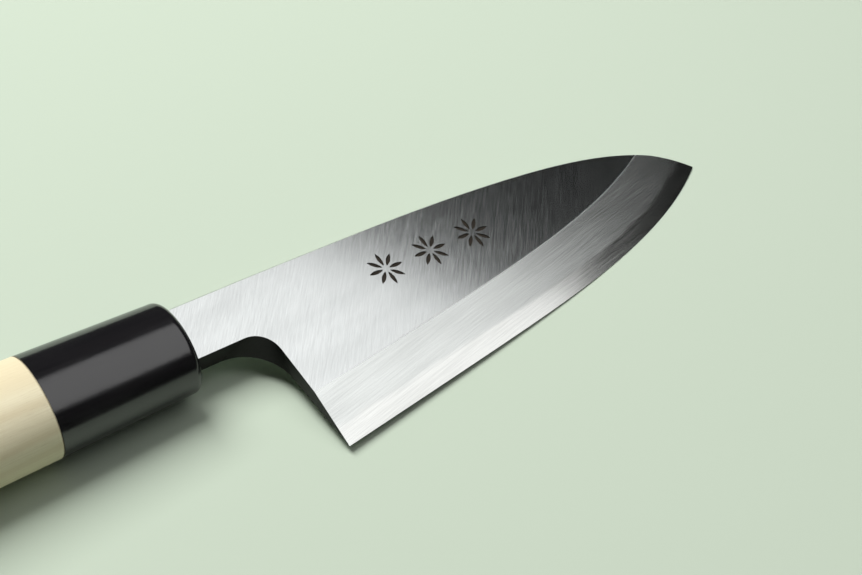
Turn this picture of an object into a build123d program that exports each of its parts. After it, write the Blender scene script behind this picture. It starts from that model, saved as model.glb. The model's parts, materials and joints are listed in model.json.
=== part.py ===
from build123d import *
import os
from math import cos, hypot, pi, sqrt

# Right-handed single-bevel deba, a heavy Japanese fish and poultry knife, lying on its back face.
#
# Design frame: origin on the handle's axis at the front face of the ferrule, +X to the tip,
# +Y to the spine, +Z out of the bevelled face.  The pieces are modelled there, and then laid
# down as the knife rests: on the ferrule and on the belly of the edge.
# Row frame: origin under the middle of the knife on the surface it lies on, +X to the tip, +Z up.
# All sizes are in millimetres.

# ---- blade, seen from the side ----
NECK_LENGTH = 21.2          # ferrule face to the heel corner
BLADE_LENGTH = 147.0        # heel corner to tip, along the handle's axis
HEEL_Y = -42.0              # heel corner
TIP_Y = -12.2               # tip
EDGE_SLOPE_RISE = 15.9      # how far the straight part of the edge would rise by the tip
EDGE_BELLY_POWER = 5.2      # how late the edge turns up to the tip
SPINE_Y = 8.5               # straight part of the spine, above the handle's axis
NECK_HEIGHT = 15.3          # spine to underside of the neck
SPINE_STRAIGHT = 61.0       # ferrule face to where the spine starts to drop
SPINE_DROP = 8.5            # gentle part of the spine's drop
SPINE_NOSE_POWER = 6.6      # how late the spine turns down to the tip
CHOIL_X = 20.0              # back edge of the blade, where it would meet the neck
CHOIL_RADIUS = 4.8          # inside corner between neck and blade, on the side of the flat
CHOIL_BACK_RADIUS = 13.0    # the same corner on the back, where more metal is left

# ---- blade, thickness ----
NECK_THICKNESS = 6.6        # thickness of the spine, from the neck to the heel
TIP_THICKNESS = 2.4         # thickness the spine would have at the tip
TAPER_POWER = 1.35          # above 1, the taper quickens towards the tip
FLAT_FALL = 0.077           # slope of the flat, which thins the blade from spine to ridge
BEVEL_WIDTH = 14.9          # edge to ridge line at the heel
BEVEL_WIDTH_GROWTH = 4.2    # how much wider the bevel is at the tip
SPINE_CHAMFER = 0.4         # broken corner along the spine

# ---- laminations ----
HARD_STEEL_START = 16.0     # ferrule face to where the hard steel begins
HARD_STEEL_HEEL = 1.25      # thickness of the hard steel at the heel
HARD_STEEL_TIP = 0.55       # thickness of the hard steel at the tip
HOLLOW_RIM = 2.6            # flat rim left around the hollow in the back
HOLLOW_HEEL_MARGIN = 7.0    # flat left between the heel and the hollow
HOLLOW_TIP_MARGIN = 9.0     # flat left between the hollow and the tip
HOLLOW_DEPTH = 0.45         # depth of the hollow at its widest
HOLLOW_BLUNTNESS = 3        # 2 would make the hollow an ellipse, more squares its ends

# ---- engraved ornament on the flat: a row of plain rosettes ----
ROSETTE_COUNT = 3
ROSETTE_FIRST_X = 58.0
ROSETTE_PITCH = 14.5
ROSETTE_Y = -4.6
PETAL_COUNT = 8
PETAL_START = 1.0           # rosette centre to a petal's inner point
PETAL_LENGTH = 4.2
PETAL_WIDTH = 1.15
ENGRAVING_DEPTH = 0.25

# ---- tang ----
TANG_LENGTH = 95.0          # ferrule face to the end of the tang
TANG_END_HEIGHT = 7.0
TANG_END_THICKNESS = 3.6
TANG_END_GAP = 3.0          # air left beyond the tang in its burned-in hole

# ---- handle: ovals, their height along Y and their width along Z ----
HANDLE_LENGTH = 125.0
FERRULE_LENGTH = 35.8
FRONT_WIDTH = 20.4          # ferrule's front face
FERRULE_WALL = 2.2          # thinnest horn around the tenon
FERRULE_FRONT_WALL = 8.0    # solid front of the ferrule, around the neck
FERRULE_NOSE_RADIUS = 2.0   # rounding of the ferrule's front rim
FERRULE_FLARE = (1.9, 1.2)  # how much higher and wider the oval is where ferrule and grip meet
GRIP_FLARE = (3.4, 2.4)     # and from there to the butt
TENON_WALL = 0.7            # thinnest wood outside the tang's corners
TENON_CLEARANCE = 0.1       # glue line around the tenon, each side
TENON_END_GAP = 0.5         # glue space ahead of the tenon
GRIP_FRONT_CHAMFER = 0.35
BUTT_ROUNDING = 1.6
SEAL_GAP = 0.4              # sealant between the neck and the ferrule's slot, each side
SEAL_RECESS = 0.3           # sealant stops this far below the ferrule's surface

# ---- how it lies ----
BALANCE_SHARE = 0.815       # share of the blade, from the heel, where the edge touches the surface

# ---- derived places ----
TIP_X = NECK_LENGTH + BLADE_LENGTH
BACK_Z = -NECK_THICKNESS / 2        # flat back plane; the neck is centred in the handle
FRONT_Z = NECK_THICKNESS / 2
NECK_UNDERSIDE_Y = SPINE_Y - NECK_HEIGHT
NECK_MIDDLE = (SPINE_Y - NECK_HEIGHT / 2, (BACK_Z + FRONT_Z) / 2)
EDGE_TURN = TIP_Y - HEEL_Y - EDGE_SLOPE_RISE
SPINE_NOSE = SPINE_Y - SPINE_DROP - TIP_Y
NECK_ROOT = -FERRULE_FRONT_WALL     # neck runs straight to here, then the tang tapers
OVERRUN = 3.0               # how far cutting tools reach past what they cut
FAR = 60.0                  # half size of the tools that cut right across
CURVE_POINTS = 12           # points that a curved outline is drawn through
SECTIONS = 16               # sections that a long curved surface is drawn through
TENON_WIDTH = FRONT_WIDTH - 2 * (FERRULE_WALL + TENON_CLEARANCE)
NECK_REACH = max(SPINE_Y, -NECK_UNDERSIDE_Y)
TENON_HEIGHT = 2 * (NECK_REACH / sqrt(1 - (NECK_THICKNESS / TENON_WIDTH) ** 2) + TENON_WALL)
FRONT_HEIGHT = TENON_HEIGHT + 2 * (TENON_CLEARANCE + FERRULE_WALL)
JOINT_HEIGHT = FRONT_HEIGHT + FERRULE_FLARE[0]
JOINT_WIDTH = FRONT_WIDTH + FERRULE_FLARE[1]
BUTT_HEIGHT = JOINT_HEIGHT + GRIP_FLARE[0]
BUTT_WIDTH = JOINT_WIDTH + GRIP_FLARE[1]


def edge_y(x):
    """Height of the cutting edge: straight near the heel, turning up to the tip."""
    share = (x - NECK_LENGTH) / BLADE_LENGTH
    return HEEL_Y + EDGE_SLOPE_RISE * share + EDGE_TURN * max(share, 0) ** EDGE_BELLY_POWER


def edge_slope(x):
    """Slope of the cutting edge."""
    share = (x - NECK_LENGTH) / BLADE_LENGTH
    turn = EDGE_TURN * EDGE_BELLY_POWER * share ** (EDGE_BELLY_POWER - 1)
    return (EDGE_SLOPE_RISE + turn) / BLADE_LENGTH


def spine_y(x):
    """Height of the spine: straight, then falling ever faster to the tip."""
    share = max(x - SPINE_STRAIGHT, 0) / (TIP_X - SPINE_STRAIGHT)
    return SPINE_Y - SPINE_DROP * share ** 2 - SPINE_NOSE * share ** SPINE_NOSE_POWER


def spine_z(x):
    """Height of the spine's front corner above the handle's axis, thinning towards the tip."""
    share = max(x - NECK_LENGTH, 0) / BLADE_LENGTH
    return FRONT_Z - (NECK_THICKNESS - TIP_THICKNESS) * share ** TAPER_POWER


def flat_z(x, y):
    """Height of the flat, which falls from the spine to the ridge."""
    return spine_z(x) - FLAT_FALL * (spine_y(x) - y)


def bevel_width(x):
    """Distance from the edge up to the ridge line."""
    share = (x - NECK_LENGTH) / BLADE_LENGTH
    return BEVEL_WIDTH + BEVEL_WIDTH_GROWTH * share ** 2


def spread(start, end, count):
    """Evenly spaced values from start to end."""
    return [start + (end - start) * i / (count - 1) for i in range(count)]


def across(x):
    """Plane across the knife at x, its own x along +Y and its own y along +Z."""
    return Plane(origin=(x, 0, 0), x_dir=(0, 1, 0), z_dir=(1, 0, 0))


def side_prism(*points):
    """Solid right across the knife with the given corners in X and Z."""
    outline = Polyline(*[(x, -FAR, z) for x, z in points], close=True)
    return extrude(make_face(outline), 2 * FAR, dir=(0, 1, 0))


def side_outline():
    """Outline of blade and tang in X and Y, before the notch and the bevel are cut."""
    end = -TANG_LENGTH
    middle = NECK_MIDDLE[0]
    below = HEEL_Y - OVERRUN
    nose = [(x, spine_y(x)) for x in spread(SPINE_STRAIGHT, TIP_X + OVERRUN / 2, CURVE_POINTS)]
    rest = Polyline(
        nose[-1],
        (nose[-1][0], below),
        (NECK_ROOT, below),
        (NECK_ROOT, NECK_UNDERSIDE_Y),
        (end, middle - TANG_END_HEIGHT / 2),
        (end, middle + TANG_END_HEIGHT / 2),
        (NECK_ROOT, SPINE_Y),
        nose[0],
    )
    return make_face([Spline(nose), rest])


def notch_outline(z):
    """Outline at height z of the notch under the neck; its corner widens towards the back."""
    depth_share = (FRONT_Z - z) / NECK_THICKNESS
    radius = CHOIL_RADIUS + (CHOIL_BACK_RADIUS - CHOIL_RADIUS) * depth_share
    start = NECK_ROOT - OVERRUN
    below = HEEL_Y - 2 * OVERRUN
    fall_share = (NECK_UNDERSIDE_Y - below) / (NECK_UNDERSIDE_Y - HEEL_Y)
    heel_x = CHOIL_X + (NECK_LENGTH - CHOIL_X) * fall_share
    bend = FilletPolyline(
        (start, NECK_UNDERSIDE_Y), (CHOIL_X, NECK_UNDERSIDE_Y), (heel_x, below), radius=radius
    )
    rest = Polyline((heel_x, below), (start, below), (start, NECK_UNDERSIDE_Y))
    return Pos(0, 0, z) * make_face([bend, rest])


def notch():
    """What is cut away under the neck and behind the heel."""
    return loft([notch_outline(BACK_Z - OVERRUN / 2), notch_outline(FRONT_Z + OVERRUN / 2)])


def above_flat(drop):
    """Everything above the flat lowered by drop, from past the tang to past the tip."""
    low = HEEL_Y - 2 * OVERRUN
    high = SPINE_Y + OVERRUN
    sections = []
    for x in spread(-TANG_LENGTH - OVERRUN, TIP_X + OVERRUN, 2 * SECTIONS):
        left = (low, flat_z(x, low) - drop)
        right = (high, flat_z(x, high) - drop)
        outline = Polyline(left, right, (high, FAR), (low, FAR), close=True)
        sections.append(across(x) * make_face(outline))
    return loft(sections)


def thickness_profile():
    """Slab from the back plane up to the spine's height, with the tang's taper."""
    end = -TANG_LENGTH
    last = TIP_X + OVERRUN
    half = TANG_END_THICKNESS / 2
    middle = NECK_MIDDLE[1]
    return side_prism(
        (last, FRONT_Z),
        (last, BACK_Z),
        (NECK_ROOT, BACK_Z),
        (end, middle - half),
        (end, middle + half),
        (NECK_ROOT, FRONT_Z),
    )


def bevel_cutter():
    """Everything outside the bevel: a straight rule from the edge to the ridge, swept along."""
    sections = []
    for x in spread(NECK_LENGTH - OVERRUN, TIP_X + OVERRUN, SECTIONS):
        width = bevel_width(x)
        rise = flat_z(x, edge_y(x) + width) - BACK_Z
        length = hypot(width, rise)
        along_y = width / length * OVERRUN
        along_z = rise / length * OVERRUN
        low = (edge_y(x) - along_y, BACK_Z - along_z)
        high = (edge_y(x) + width + along_y, BACK_Z + rise + along_z)
        corners = [low, high, (HEEL_Y - FAR, high[1]), (HEEL_Y - FAR, low[1])]
        sections.append(across(x) * make_face(Polyline(*corners, close=True)))
    return loft(sections)


def hard_steel_region():
    """The back layer of the blade, from where the hard steel begins to past the tip."""
    last = TIP_X + OVERRUN
    below = BACK_Z - OVERRUN
    return side_prism(
        (HARD_STEEL_START, below),
        (HARD_STEEL_START, BACK_Z + HARD_STEEL_HEEL),
        (last, BACK_Z + HARD_STEEL_TIP),
        (last, below),
    )


def back_hollow():
    """Shallow hollow ground into the back, inside a flat rim."""
    start = NECK_LENGTH + HOLLOW_HEEL_MARGIN
    end = TIP_X - HOLLOW_TIP_MARGIN
    widest = spine_y(start) - edge_y(start) - 2 * HOLLOW_RIM
    sections = []
    for number in range(CURVE_POINTS):
        share = (1 - cos(pi * (number + 0.5) / CURVE_POINTS)) / 2
        x = start + (end - start) * share
        middle = (spine_y(x) + edge_y(x)) / 2
        fullness = sqrt(1 - abs(2 * share - 1) ** HOLLOW_BLUNTNESS)
        half = fullness * ((spine_y(x) - edge_y(x)) / 2 - HOLLOW_RIM)
        depth = HOLLOW_DEPTH * 2 * half / widest
        low = (middle - half, BACK_Z)
        high = (middle + half, BACK_Z)
        arc = ThreePointArc(low, (middle, BACK_Z + depth), high)
        sections.append(across(x) * make_face([arc, Line(high, low)]))
    return loft(sections)


def petal(turn):
    """One pointed petal of a rosette, in X and Y about the rosette's centre."""
    inner = (PETAL_START, 0)
    outer = (PETAL_START + PETAL_LENGTH, 0)
    middle = PETAL_START + PETAL_LENGTH / 2
    left = ThreePointArc(inner, (middle, PETAL_WIDTH / 2), outer)
    right = ThreePointArc(outer, (middle, -PETAL_WIDTH / 2), inner)
    return Rot(0, 0, turn) * make_face([left, right])


def engraving():
    """The rosettes, cut to an even depth below the flat."""
    petals = []
    for number in range(ROSETTE_COUNT):
        centre_x = ROSETTE_FIRST_X + number * ROSETTE_PITCH
        centre = Pos(centre_x, ROSETTE_Y, BACK_Z)
        for turn in range(PETAL_COUNT):
            petals.append(extrude(centre * petal(360 / PETAL_COUNT * turn), 2 * NECK_THICKNESS))
    return (Part() + petals) & above_flat(ENGRAVING_DEPTH)


def spine_breaker():
    """Wedge that breaks the sharp corner between the spine and the flat."""
    reach = 2 * SPINE_CHAMFER
    sections = []
    for x in spread(NECK_ROOT, TIP_X + OVERRUN, SECTIONS):
        y = spine_y(x)
        z = spine_z(x)
        on_flat = (y - SPINE_CHAMFER - reach, z + reach)
        on_spine = (y + reach, z - SPINE_CHAMFER - reach)
        outside = (y + reach, z + reach)
        sections.append(across(x) * make_face(Polyline(on_flat, on_spine, outside, close=True)))
    return loft(sections)


def forging():
    """Blade, neck and tang in one: the outer shape that both steels share."""
    upright = extrude(Pos(0, 0, -FAR) * side_outline(), 2 * FAR, dir=(0, 0, 1))
    blank = (upright & thickness_profile()) - notch()
    return blank - above_flat(0) - spine_breaker()


def oval(x, height, width, inset=0.0):
    """Oval section of the handle at x."""
    return across(x) * Ellipse(height / 2 - inset, width / 2 - inset)


def neck_slot():
    """The slot through the ferrule's front wall, a sealant gap larger than the neck."""
    outline = Rectangle(NECK_HEIGHT + 2 * SEAL_GAP, NECK_THICKNESS + 2 * SEAL_GAP)
    return extrude(across(0) * Pos(*NECK_MIDDLE) * outline, FERRULE_FRONT_WALL, dir=(-1, 0, 0))


def ferrule_shell():
    """Outside of the ferrule: a slightly flared oval with a rounded front rim."""
    shell = loft([oval(-FERRULE_LENGTH, JOINT_HEIGHT, JOINT_WIDTH), oval(0, FRONT_HEIGHT, FRONT_WIDTH)])
    return fillet(shell.faces().sort_by(Axis.X)[-1].edges(), FERRULE_NOSE_RADIUS)


def ferrule():
    """Ferrule with a slot for the neck and a bore for the tenon."""
    bore_section = oval(-FERRULE_LENGTH, TENON_HEIGHT, TENON_WIDTH, -TENON_CLEARANCE)
    bore = extrude(bore_section, FERRULE_LENGTH - FERRULE_FRONT_WALL, dir=(1, 0, 0))
    return ferrule_shell() - bore - neck_slot()


def handle_grip(steel):
    """Oval wooden grip with its tenon, and the tang's burned-in hole."""
    butt = oval(-HANDLE_LENGTH, BUTT_HEIGHT, BUTT_WIDTH)
    grip = loft([butt, oval(-FERRULE_LENGTH, JOINT_HEIGHT, JOINT_WIDTH)])
    grip = fillet(grip.faces().sort_by(Axis.X)[0].edges(), BUTT_ROUNDING)
    grip = chamfer(grip.faces().sort_by(Axis.X)[-1].edges(), GRIP_FRONT_CHAMFER)
    tenon_length = FERRULE_LENGTH - FERRULE_FRONT_WALL - TENON_END_GAP
    tenon = extrude(oval(-FERRULE_LENGTH, TENON_HEIGHT, TENON_WIDTH), tenon_length, dir=(1, 0, 0))
    tang_end = across(-TANG_LENGTH) * Pos(*NECK_MIDDLE) * Rectangle(TANG_END_HEIGHT, TANG_END_THICKNESS)
    end_gap = extrude(tang_end, TANG_END_GAP, dir=(-1, 0, 0))
    return grip + tenon - steel - end_gap


def tang_seal(steel):
    """Sealant that closes the ferrule's slot around the neck."""
    return (neck_slot() & Pos(-SEAL_RECESS, 0, 0) * ferrule_shell()) - steel


def tilt_onto(x, height, width):
    """Sideways tilt, as a slope, of the plane that touches both the edge and one oval of the handle."""
    touch_x = NECK_LENGTH + BALANCE_SHARE * BLADE_LENGTH
    reach = edge_slope(touch_x) * (touch_x - x) - edge_y(touch_x)
    square = reach ** 2 - (height / 2) ** 2
    root = sqrt((reach * BACK_Z) ** 2 + square * ((width / 2) ** 2 - BACK_Z ** 2))
    return (reach * BACK_Z + root) / square


def resting_plane():
    """Surface the knife lies on, under the belly of its edge and the lowest oval of its handle."""
    tilt = max(
        tilt_onto(-FERRULE_NOSE_RADIUS, FRONT_HEIGHT, FRONT_WIDTH),
        tilt_onto(-FERRULE_LENGTH, JOINT_HEIGHT, JOINT_WIDTH),
        tilt_onto(-HANDLE_LENGTH + BUTT_ROUNDING, BUTT_HEIGHT, BUTT_WIDTH),
    )
    slope = edge_slope(NECK_LENGTH + BALANCE_SHARE * BLADE_LENGTH)
    up = Vector(-slope * tilt, tilt, 1).normalized()
    forward = Vector(1, 0, 0) - up * up.X
    return Plane(origin=(0, 0, 0), x_dir=forward, z_dir=up)


def build():
    """All pieces, laid down as the knife rests."""
    steel = forging()
    layer = hard_steel_region()
    blade = steel - bevel_cutter()
    pieces = {
        "blade_cladding": blade - layer - engraving(),
        "edge_steel": (blade & layer) - back_hollow(),
        "ferrule": ferrule(),
        "handle_grip": handle_grip(steel),
        "tang_seal": tang_seal(steel),
    }
    plane = resting_plane()
    laid = {name: plane.to_local_coords(shape) for name, shape in pieces.items()}
    box = Compound([shape for shape in laid.values()]).bounding_box()
    shift = Pos(-box.center().X, -box.center().Y, -box.min.Z)
    return {name: shift * shape for name, shape in laid.items()}


os.makedirs("parts", exist_ok=True)
for node, solid in build().items():
    export_step(solid, f"parts/{node}.step")
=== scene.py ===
import json
from math import cos, pi, radians, sin

import bpy
from mathutils import Euler, Matrix, Vector


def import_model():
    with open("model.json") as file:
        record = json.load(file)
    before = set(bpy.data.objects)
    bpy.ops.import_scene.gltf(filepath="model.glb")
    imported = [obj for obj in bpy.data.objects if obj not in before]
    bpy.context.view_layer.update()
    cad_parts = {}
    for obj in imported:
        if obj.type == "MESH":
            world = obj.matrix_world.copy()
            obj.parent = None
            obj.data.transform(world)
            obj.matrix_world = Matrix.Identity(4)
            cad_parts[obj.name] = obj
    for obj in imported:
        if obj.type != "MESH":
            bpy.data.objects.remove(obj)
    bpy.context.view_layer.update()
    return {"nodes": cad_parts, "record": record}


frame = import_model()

# Sizes of the knife that its materials follow, in millimetres, in the knife's own frame:
# origin on the handle's axis at the ferrule's front face, x to the tip, y to the spine,
# z out of the bevelled face.
HANDLE_LENGTH = 125.0
HEEL_X = 21.2
BLADE_LENGTH = 147.0
HEEL_Y = -42.0              # cutting edge: straight rise, then the belly's turn to the tip
EDGE_RISE = 15.9
EDGE_TURN = 13.9
EDGE_TURN_POWER = 5.2
BEVEL_WIDTH = 14.9          # edge to ridge line, at the heel
BEVEL_GROWTH = 4.2
BEVEL_GROWTH_POWER = 2.0
SPINE_Y = 8.5
FLAT_Z = 3.3                # spine's front corner above the handle's axis, at the heel
FLAT_DROP = 4.2             # how much lower it is at the tip
FLAT_DROP_POWER = 1.35
FLAT_FALL = 0.077           # slope of the flat from spine to ridge
ORNAMENT_X = (50.0, 95.0)   # stretch of the flat that holds the engraved ornament
ORNAMENT_Y = (-11.5, 2.5)
ORNAMENT_MARGIN = 0.1
ENGRAVED_DEPTH = (0.08, 0.14, 0.5, 0.6)     # below the flat: starts, full, still full, ends

# Faces of the blade, told apart by how squarely they face out along z, or the spine along y:
# the first value is where a face doesn't count yet, and at the second it counts in full.
FLAT_FACING = (0.9915, 0.9930)
FRONT_FACING = (0.55, 0.80)
BACK_FACING = (-0.80, -0.95)
SPINE_FACING = (0.60, 0.80)

# Steel: what it reflects, and how rough each ground surface is.
FLAT_TONE = (0.60, 0.62, 0.615, 1.0)
BEVEL_TONE = (0.62, 0.64, 0.625, 1.0)
HARD_TONE = (0.66, 0.67, 0.65, 1.0)
# Near-black painted shade on the blade's sides other than the flat, bevel, back and spine, such as the
# neck's underside and the choil.
SIDE_PAINTED_SHADE_TONE = (0.02, 0.02, 0.019, 1.0)
ENGRAVED_TONES = ((0.012, 0.010, 0.008, 1.0), (0.05, 0.04, 0.03, 1.0))
FLAT_ROUGHNESS = 0.155
BEVEL_ROUGHNESS = 0.24
HARD_ROUGHNESS = 0.16
SIDE_FACE_ROUGHNESS = 0.45
ENGRAVED_ROUGHNESS = 0.75
ENGRAVED_METALLIC_LOSS = 0.7

# Grinding marks: angle from x in degrees, and length and width of a streak in millimetres.
CROSS_ANGLE = 47.0          # fine cross-grinding of the flat
CROSS_STREAK = (36.0, 0.52)
HONE_ANGLE = 8.0            # honing of the bevel along the edge
HONE_STREAK = (60.0, 0.50)
FINE_STREAK = (0.3, 0.45)   # length and width of the finer streaks, as shares of the coarse ones
FINE_TURN = 4.0
SCRATCH_SHADE = (0.88, 1.12)
SCRATCH_GLOSS = (-0.02, 0.03)
SCRATCH_RELIEF = (0.10, 0.000014)   # of each relief: its strength, and its height in metres
CLOUD = (24.0, 7.0)         # patches of a slightly different polish
CLOUD_SHADE = (0.95, 1.05)
ENGRAVED_GRAIN = 0.8        # size of the spots in the floor of the cuts

# Where the hard steel shows through the bevel, and the band along the ridge line that is painted lighter as
# a highlight and made rougher, in millimetres.
LAMINATION = 5.2            # up from the edge
LAMINATION_BLUR = 0.9
LAMINATION_WANDER = (9.0, 5.0)
RIDGE_BAND_HALF_WIDTH = 0.35           # half width
# Share by which the ridge band's colour is lightened: a painted highlight along the ridge line.
RIDGE_PAINTED_HIGHLIGHT = 0.18
RIDGE_ROUGHER = 0.12

# Horn of the ferrule.
HORN_TONES = ((0.004, 0.004, 0.005, 1.0), (0.012, 0.011, 0.012, 1.0))
HORN_FIBRE = (30.0, 0.9)
HORN_HAZE = (9.0, 3.0)
HORN_SPECULAR = 0.85
HORN_ROUGHNESS = (0.15, 0.20)
HORN_FIBRE_GLOSS = (-0.03, 0.04)
HORN_RELIEF = (0.15, 0.00002)

# Wood of the grip.
EARLY_WOOD = (0.74, 0.675, 0.48, 1.0)
LATE_WOOD = (0.68, 0.60, 0.41, 1.0)
WOOD_STREAK_TONE = (0.62, 0.53, 0.34, 1.0)
WOOD_PORE_TONE = (0.48, 0.39, 0.24, 1.0)
WOOD_STREAK_SHARE = 0.45
WOOD_STREAK_SPAN = (0.35, 0.75)     # of its noise: where a streak starts, and where it is full
WOOD_PORE_SHARE = 0.25
WOOD_PORE_SPAN = (0.66, 0.74)
WOOD_GRAIN = (22.0, 0.35)
WOOD_PORE = (2.6, 0.16)
WOOD_ROUGHNESS = (0.46, 0.62)
WOOD_RELIEF = (0.3, 0.00006)
RING_TILT = (0.35, 0.9)     # how fast the growth rings pass along y and z
RING_WANDER = (90.0, 14.0)
RING_WANDER_AMOUNT = 9.0
RING_FREQUENCY = 1.35
LATE_WOOD_SPAN = (-0.2, 1.0)        # of the rings' wave

# Sealant round the neck.
SEALANT_TONES = ((0.008, 0.008, 0.008, 1.0), (0.02, 0.02, 0.019, 1.0))
SEALANT_LUMP = 0.7
SEALANT_ROUGHNESS = (0.5, 0.75)
SEALANT_RELIEF = (0.5, 0.0001)

# Camera: where it looks, from where, and how it is held.
AIM = Vector((0.04895, 0.00377, 0.0))
CAMERA_DISTANCE = 0.3559
CAMERA_ELEVATION = 45.41
CAMERA_BEARING = 45.54      # direction it looks in, from +X towards +Y
CAMERA_ROLL = 9.10
LENS = 56.4                 # mm
SENSOR_WIDTH = 36.0         # mm

# Lights, in metres and watts: a wide soft one overhead beyond the tip, whose reflection the
# blade shows, and a softbox beyond the spine, which lights the rest.
OVERHEAD_PLACE = (0.54, -0.22, 1.0)
OVERHEAD_SIZE = (0.94, 1.42)
OVERHEAD_TURN = 14.0
OVERHEAD_POWER = 4.5
SOFTBOX_PLACE = (-0.12, 0.72, 1.12)
SOFTBOX_SIZE = (0.60, 0.95)
SOFTBOX_POWER = 26.5

# Floor: its size in metres, and its material.
FLOOR_RADIUS = 1.5
FLOOR_CORNERS = 96
FLOOR_TONE = (0.47, 0.54, 0.44, 1.0)
FLOOR_ROUGHNESS = 0.75
FLOOR_SPECULAR = 0.2

# Surroundings: their strength as light, and what shines in reflections on the handle's side.
AMBIENT_TONE = (0.93, 1.0, 0.95, 1.0)
AMBIENT_STRENGTH = 0.012
BACKDROP_TONE = (0.60, 0.68, 0.58, 1.0)
REFLECTED_SIDE = (0.22, 0.05)       # share of +X in the direction: starts, full
REFLECTED_STRENGTH = (1.10, 0.45)   # at the horizon, and higher up
REFLECTED_TOP = 0.85                # share of +Z at which the second is reached

NOISE_SPAN = (0.3, 0.7)     # nearly all of a noise texture's values


# ---------------------------------------------------------------- node helpers

def add(tree, kind, sockets=None, **settings):
    """A new node; a socket given another node's output is linked, any other value is set."""
    node = tree.nodes.new(kind)
    for name, value in settings.items():
        setattr(node, name, value)
    for name, value in (sockets or {}).items():
        if isinstance(value, bpy.types.NodeSocket):
            tree.links.new(value, node.inputs[name])
        else:
            node.inputs[name].default_value = value
    return node


def compute(tree, operation, a, b=0.0):
    """The result of a Math node."""
    return add(tree, "ShaderNodeMath", {0: a, 1: b}, operation=operation).outputs[0]


def product(tree, first, *others):
    """All the factors multiplied."""
    for other in others:
        first = compute(tree, "MULTIPLY", first, other)
    return first


def step(tree, value, low, high):
    """0 below low, 1 above high, smooth between; low may be the larger."""
    sockets = {"Value": value, "From Min": low, "From Max": high}
    node = add(tree, "ShaderNodeMapRange", sockets, interpolation_type="SMOOTHSTEP")
    return node.outputs["Result"]


def scale(tree, value, low, high, start=0.0, end=1.0):
    """value from start to end becomes low to high."""
    sockets = {"Value": value, "From Min": start, "From Max": end, "To Min": low, "To Max": high}
    return add(tree, "ShaderNodeMapRange", sockets).outputs["Result"]


def vary(tree, value, low, high):
    """A noise's value becomes low to high."""
    return scale(tree, value, low, high, *NOISE_SPAN)


def mix(tree, factor, a, b):
    """Colour between a and b."""
    return add(tree, "ShaderNodeMix", {0: factor, 6: a, 7: b}, data_type="RGBA").outputs[2]


def blend(tree, factor, a, b):
    """Number between a and b."""
    return add(tree, "ShaderNodeMix", {0: factor, 2: a, 3: b}, data_type="FLOAT").outputs[0]


def noise(tree, vector, size, detail=2.0, roughness=0.5):
    """Noise whose cells are about size long, in the units of vector."""
    sockets = {"Vector": vector, "Scale": 1.0 / size, "Detail": detail, "Roughness": roughness}
    return add(tree, "ShaderNodeTexNoise", sockets).outputs["Fac"]


def stretched(tree, vector, along, across, turn=0.0):
    """Coordinates squeezed so that noise forms streaks along x, turned in the plane of the blade."""
    sockets = {"Vector": vector, "Angle": -radians(turn)}
    turned = add(tree, "ShaderNodeVectorRotate", sockets, rotation_type="Z_AXIS").outputs[0]
    scales = (1.0 / along, 1.0 / across, 1.0 / across)
    return add(tree, "ShaderNodeMapping", {"Vector": turned, "Scale": scales}).outputs[0]


def streaks(tree, vector, size, turn=0.0, detail=2.0, roughness=0.5):
    """Noise stretched into streaks of the given length and width."""
    return noise(tree, stretched(tree, vector, *size, turn), 1.0, detail, roughness)


def bump(tree, height, strength, distance):
    """Normal from a height; distance is in metres."""
    sockets = {"Height": height, "Strength": strength, "Distance": distance}
    return add(tree, "ShaderNodeBump", sockets).outputs["Normal"]


def new_material(name):
    """An empty material: itself, its tree and its Principled shader."""
    material = bpy.data.materials.new(name)
    material.use_nodes = True
    tree = material.node_tree
    shader = next(node for node in tree.nodes if node.type == "BSDF_PRINCIPLED")
    return material, tree, shader


def finish_shader(tree, shader, sockets):
    """Links the worked-out values to the shader's sockets."""
    for name, value in sockets.items():
        tree.links.new(value, shader.inputs[name])


# ---------------------------------------------------------------- knife frame

def knife_matrix():
    """Rotation and origin of the knife's own frame, read from the record's two flat faces."""
    mounts = {mount["name"]: mount for mount in frame["record"]["mounts"]}
    along = -Vector(mounts["butt_end"]["axis"]).normalized()
    out = -Vector(mounts["blade_back"]["axis"]).normalized()
    spineward = out.cross(along).normalized()
    turn = Matrix((along, spineward, out)).transposed()
    origin = Vector(mounts["butt_end"]["pos_m"]) + HANDLE_LENGTH / 1000 * along
    return turn, origin


TURN, ORIGIN = knife_matrix()


def knife_coordinates(tree):
    """Millimetres in the knife's own frame, as a vector."""
    place = add(tree, "ShaderNodeTexCoord").outputs["Object"]
    sockets = {
        "Vector": place, "Location": ORIGIN, "Rotation": TURN.to_euler(), "Scale": (0.001,) * 3,
    }
    return add(tree, "ShaderNodeMapping", sockets, vector_type="TEXTURE").outputs[0]


def split(tree, vector):
    """The x, y and z of a vector."""
    return tuple(add(tree, "ShaderNodeSeparateXYZ", {0: vector}).outputs)


def facing(tree, direction):
    """How squarely the surface faces a direction of the knife's own frame, from -1 to 1."""
    normal = add(tree, "ShaderNodeNewGeometry").outputs["True Normal"]
    sockets = {0: normal, 1: TURN @ Vector(direction)}
    return add(tree, "ShaderNodeVectorMath", sockets, operation="DOT_PRODUCT").outputs["Value"]


# ---------------------------------------------------------------- steel

def ground_scratches(tree, vector, size, turn):
    """Streaks of grinding, coarse and fine together, about 0 to 1."""
    coarse = streaks(tree, vector, size, turn, roughness=0.6)
    fine_size = [whole * share for whole, share in zip(size, FINE_STREAK)]
    fine = streaks(tree, vector, fine_size, turn + FINE_TURN, detail=1.0)
    return compute(tree, "ADD", product(tree, coarse, 0.5), product(tree, fine, 0.5))


def share_of_blade(tree, x):
    """0 at the heel and on the neck, 1 at the tip."""
    return scale(tree, x, 0.0, 1.0, HEEL_X, HEEL_X + BLADE_LENGTH)


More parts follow.
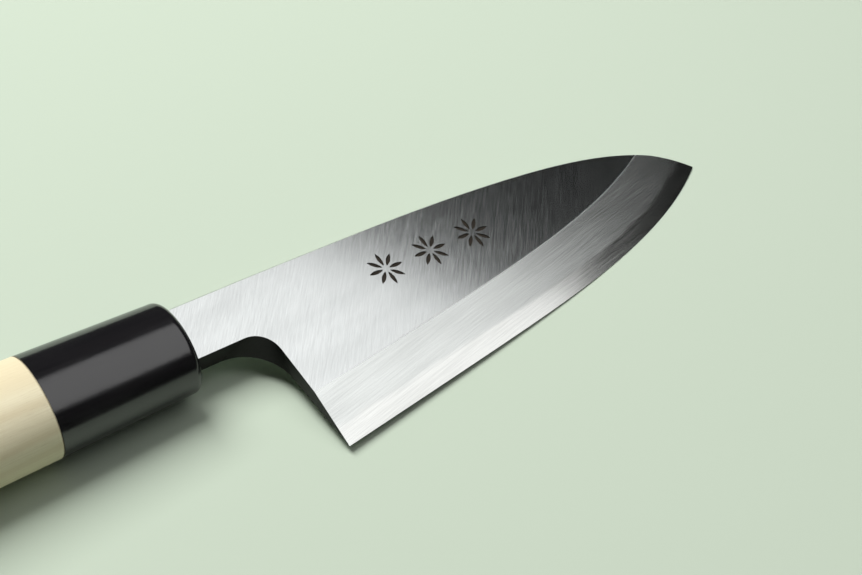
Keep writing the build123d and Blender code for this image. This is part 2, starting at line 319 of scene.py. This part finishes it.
def depth_below_flat(tree, x, y, z):
    """How far a point lies below the flat, which thins to the tip and to the ridge."""
    share = share_of_blade(tree, x)
    drop = product(tree, compute(tree, "POWER", share, FLAT_DROP_POWER), FLAT_DROP)
    fall = product(tree, compute(tree, "SUBTRACT", SPINE_Y, y), FLAT_FALL)
    flat = compute(tree, "SUBTRACT", compute(tree, "SUBTRACT", FLAT_Z, drop), fall)
    return compute(tree, "SUBTRACT", flat, z)


def above_edge(tree, x, y):
    """Distance up from the cutting edge, and distance up from the ridge line."""
    share = share_of_blade(tree, x)
    rise = product(tree, share, EDGE_RISE)
    turn = product(tree, compute(tree, "POWER", share, EDGE_TURN_POWER), EDGE_TURN)
    edge = compute(tree, "ADD", compute(tree, "ADD", rise, turn), HEEL_Y)
    from_edge = compute(tree, "SUBTRACT", y, edge)
    growth = product(tree, compute(tree, "POWER", share, BEVEL_GROWTH_POWER), BEVEL_GROWTH)
    from_ridge = compute(tree, "SUBTRACT", compute(tree, "SUBTRACT", from_edge, growth), BEVEL_WIDTH)
    return from_edge, from_ridge


def engraved_mask(tree, x, y, z):
    """1 inside the cuts of the ornament, and 0 on the blade's back behind them."""
    starts, full, still_full, ends = ENGRAVED_DEPTH
    depth = depth_below_flat(tree, x, y, z)
    mask = product(tree, step(tree, depth, starts, full), step(tree, depth, ends, still_full))
    for value, (low, high) in ((x, ORNAMENT_X), (y, ORNAMENT_Y)):
        above = step(tree, value, low - ORNAMENT_MARGIN, low)
        below = step(tree, value, high + ORNAMENT_MARGIN, high)
        mask = product(tree, mask, above, below)
    return mask


def hard_steel_mask(tree, vector, from_edge, off_flat, on_back):
    """1 where the harder steel shows: along the edge, up to a wandering line, and on the back."""
    wander = scale(tree, streaks(tree, vector, LAMINATION_WANDER, HONE_ANGLE), -1.0, 1.0)
    height = compute(tree, "ADD", from_edge, wander)
    along_edge = step(tree, height, LAMINATION + LAMINATION_BLUR, LAMINATION - LAMINATION_BLUR)
    return compute(tree, "MAXIMUM", product(tree, along_edge, off_flat), on_back)


def steel(name, back_is_hard):
    """Laminated blade steel: a cross-ground flat, a bevel honed along the edge, and the other sides painted
    near-black as shade.
    """
    material, tree, shader = new_material(name)
    vector = knife_coordinates(tree)
    x, y, z = split(tree, vector)
    out = facing(tree, (0, 0, 1))
    on_flat = step(tree, out, *FLAT_FACING)
    off_flat = compute(tree, "SUBTRACT", 1.0, on_flat)
    on_front = step(tree, out, *FRONT_FACING)
    on_back = step(tree, out, *BACK_FACING)
    on_spine = step(tree, facing(tree, (0, 1, 0)), *SPINE_FACING)
    polished = compute(tree, "MAXIMUM", compute(tree, "MAXIMUM", on_front, on_back), on_spine)

    cross = ground_scratches(tree, vector, CROSS_STREAK, CROSS_ANGLE)
    honed = ground_scratches(tree, vector, HONE_STREAK, HONE_ANGLE)
    scratches = blend(tree, on_flat, honed, cross)
    clouds = streaks(tree, vector, CLOUD, HONE_ANGLE)
    from_edge, from_ridge = above_edge(tree, x, y)
    hard_back = product(tree, on_back, back_is_hard)
    hardness = hard_steel_mask(tree, vector, from_edge, off_flat, hard_back)
    below = step(tree, from_ridge, -RIDGE_BAND_HALF_WIDTH, 0.0)
    ridge_band = product(tree, below, step(tree, from_ridge, RIDGE_BAND_HALF_WIDTH, 0.0), on_front)
    engraved = engraved_mask(tree, x, y, z)

    ground = mix(tree, hardness, mix(tree, on_flat, BEVEL_TONE, FLAT_TONE), HARD_TONE)
    # Sides that are neither front, back nor spine get the near-black painted shade in place of ground
    # steel.
    base = mix(tree, polished, SIDE_PAINTED_SHADE_TONE, ground)
    # Painted highlight: the band along the ridge line is coloured lighter.
    brighter = compute(tree, "ADD", 1.0, product(tree, ridge_band, RIDGE_PAINTED_HIGHLIGHT))
    shade = product(tree, vary(tree, scratches, *SCRATCH_SHADE), vary(tree, clouds, *CLOUD_SHADE), brighter)
    tinted = add(tree, "ShaderNodeVectorMath", {0: base, 3: shade}, operation="SCALE").outputs[0]
    dark = mix(tree, noise(tree, vector, ENGRAVED_GRAIN, 3.0), *ENGRAVED_TONES)

    roughness = blend(tree, on_flat, BEVEL_ROUGHNESS, FLAT_ROUGHNESS)
    roughness = blend(tree, hardness, roughness, HARD_ROUGHNESS)
    roughness = blend(tree, polished, SIDE_FACE_ROUGHNESS, roughness)
    roughness = compute(tree, "ADD", roughness, vary(tree, scratches, *SCRATCH_GLOSS))
    roughness = compute(tree, "ADD", roughness, product(tree, ridge_band, RIDGE_ROUGHER))

    lost_metal = product(tree, engraved, ENGRAVED_METALLIC_LOSS)
    finish_shader(tree, shader, {
        "Base Color": mix(tree, engraved, tinted, dark),
        "Metallic": compute(tree, "SUBTRACT", 1.0, lost_metal),
        "Roughness": blend(tree, engraved, roughness, ENGRAVED_ROUGHNESS),
        "Normal": bump(tree, scratches, *SCRATCH_RELIEF),
    })
    return material


# ---------------------------------------------------------------- handle

def horn():
    """Polished black horn: faint long fibres and a little haze in the gloss."""
    material, tree, shader = new_material("horn")
    vector = knife_coordinates(tree)
    fibres = streaks(tree, vector, HORN_FIBRE, detail=3.0, roughness=0.6)
    haze = streaks(tree, vector, HORN_HAZE)
    shader.inputs["Specular IOR Level"].default_value = HORN_SPECULAR
    hazy = vary(tree, haze, *HORN_ROUGHNESS)
    finish_shader(tree, shader, {
        "Base Color": mix(tree, fibres, *HORN_TONES),
        "Roughness": compute(tree, "ADD", hazy, vary(tree, fibres, *HORN_FIBRE_GLOSS)),
        "Normal": bump(tree, fibres, *HORN_RELIEF),
    })
    return material


def growth_rings(tree, vector):
    """0 in the early wood and 1 in the late wood of each ring."""
    _, y, z = split(tree, vector)
    wander = streaks(tree, vector, RING_WANDER)
    place = compute(tree, "ADD", product(tree, y, RING_TILT[0]), product(tree, z, RING_TILT[1]))
    place = compute(tree, "ADD", place, product(tree, wander, RING_WANDER_AMOUNT))
    wave = compute(tree, "SINE", product(tree, place, RING_FREQUENCY))
    return step(tree, wave, *LATE_WOOD_SPAN)


def ho_wood():
    """Pale magnolia wood: straight grain, faint growth rings, fine pores."""
    material, tree, shader = new_material("ho_wood")
    vector = knife_coordinates(tree)
    grain = streaks(tree, vector, WOOD_GRAIN, detail=3.0, roughness=0.6)
    pores = step(tree, streaks(tree, vector, WOOD_PORE, detail=1.0), *WOOD_PORE_SPAN)
    pale = mix(tree, growth_rings(tree, vector), EARLY_WOOD, LATE_WOOD)
    streak = product(tree, step(tree, grain, *WOOD_STREAK_SPAN), WOOD_STREAK_SHARE)
    streaked = mix(tree, streak, pale, WOOD_STREAK_TONE)
    relief = compute(tree, "SUBTRACT", grain, product(tree, pores, 0.5))
    finish_shader(tree, shader, {
        "Base Color": mix(tree, product(tree, pores, WOOD_PORE_SHARE), streaked, WOOD_PORE_TONE),
        "Roughness": vary(tree, grain, *WOOD_ROUGHNESS),
        "Normal": bump(tree, relief, *WOOD_RELIEF),
    })
    return material


def sealant():
    """Matt black sealant with a slightly uneven skin."""
    material, tree, shader = new_material("sealant")
    lumps = noise(tree, knife_coordinates(tree), SEALANT_LUMP, 3.0)
    finish_shader(tree, shader, {
        "Base Color": mix(tree, lumps, *SEALANT_TONES),
        "Roughness": scale(tree, lumps, *SEALANT_ROUGHNESS),
        "Normal": bump(tree, lumps, *SEALANT_RELIEF),
    })
    return material


def dress(node, material):
    """Gives a CAD node its material, in place of the one it came with."""
    slots = frame["nodes"][node].data.materials
    slots.clear()
    slots.append(material)


# ---------------------------------------------------------------- stage

def floor():
    """Plain pale round floor, just tinted green."""
    mesh = bpy.data.meshes.new("floor")
    turns = [2 * pi * corner / FLOOR_CORNERS for corner in range(FLOOR_CORNERS)]
    rim = [(FLOOR_RADIUS * cos(turn), FLOOR_RADIUS * sin(turn), 0) for turn in turns]
    mesh.from_pydata(rim, [], [range(FLOOR_CORNERS)])
    disc = bpy.data.objects.new("floor", mesh)
    bpy.context.scene.collection.objects.link(disc)
    material, _, shader = new_material("floor")
    shader.inputs["Base Color"].default_value = FLOOR_TONE
    shader.inputs["Roughness"].default_value = FLOOR_ROUGHNESS
    shader.inputs["Specular IOR Level"].default_value = FLOOR_SPECULAR
    mesh.materials.append(material)


def world():
    """Surroundings: dim as light, pale behind the handle in reflections, pale to the camera."""
    backdrop = bpy.data.worlds.new("studio")
    backdrop.use_nodes = True
    tree = backdrop.node_tree
    tree.nodes.clear()
    path = add(tree, "ShaderNodeLightPath").outputs
    along, _, up = split(tree, add(tree, "ShaderNodeTexCoord").outputs["Generated"])
    behind = product(tree, step(tree, along, *REFLECTED_SIDE), path["Is Glossy Ray"])
    reflected = scale(tree, up, *REFLECTED_STRENGTH, 0.0, REFLECTED_TOP)
    strength = blend(tree, behind, AMBIENT_STRENGTH, reflected)
    dim = add(tree, "ShaderNodeBackground", {"Color": AMBIENT_TONE, "Strength": strength})
    pale = add(tree, "ShaderNodeBackground", {"Color": BACKDROP_TONE})
    sockets = {0: path["Is Camera Ray"], 1: dim.outputs[0], 2: pale.outputs[0]}
    both = add(tree, "ShaderNodeMixShader", sockets)
    add(tree, "ShaderNodeOutputWorld", {0: both.outputs[0]})
    bpy.context.scene.world = backdrop


def area_light(name, shape, place, size, power):
    """A soft light, hanging level, that doesn't show to the camera."""
    light = bpy.data.lights.new(name, "AREA")
    light.shape = shape
    light.size, light.size_y = size
    light.energy = power
    lamp = bpy.data.objects.new(name, light)
    lamp.location = place
    lamp.visible_camera = False
    bpy.context.scene.collection.objects.link(lamp)
    return lamp


def lights():
    """The overhead light stays level; the softbox is turned to the knife and has no reflection."""
    overhead = area_light("overhead", "ELLIPSE", OVERHEAD_PLACE, OVERHEAD_SIZE, OVERHEAD_POWER)
    overhead.rotation_euler.z = radians(OVERHEAD_TURN)
    softbox = area_light("softbox", "RECTANGLE", SOFTBOX_PLACE, SOFTBOX_SIZE, SOFTBOX_POWER)
    softbox.rotation_euler = Vector(SOFTBOX_PLACE).to_track_quat("Z", "Y").to_euler()
    softbox.visible_glossy = False


def camera():
    """Close to the knife's handle, looking over it towards the tip."""
    data = bpy.data.cameras.new("camera")
    data.lens = LENS
    data.sensor_width = SENSOR_WIDTH
    data.clip_start = 0.01
    eye = bpy.data.objects.new("camera", data)
    angles = (radians(90 - CAMERA_ELEVATION), 0, radians(CAMERA_BEARING - 90))
    turn = Euler(angles, "XYZ").to_matrix() @ Matrix.Rotation(radians(CAMERA_ROLL), 3, "Z")
    back_off = Matrix.Translation((0, 0, CAMERA_DISTANCE))
    eye.matrix_world = Matrix.Translation(AIM) @ turn.to_4x4() @ back_off
    bpy.context.scene.collection.objects.link(eye)
    bpy.context.scene.camera = eye


camera()
world()
lights()
floor()
bpy.context.scene.view_settings.view_transform = "Standard"

dress("blade_cladding", steel("soft_iron", back_is_hard=0.0))
dress("edge_steel", steel("hard_steel", back_is_hard=1.0))
dress("ferrule", horn())
dress("handle_grip", ho_wood())
dress("tang_seal", sealant())
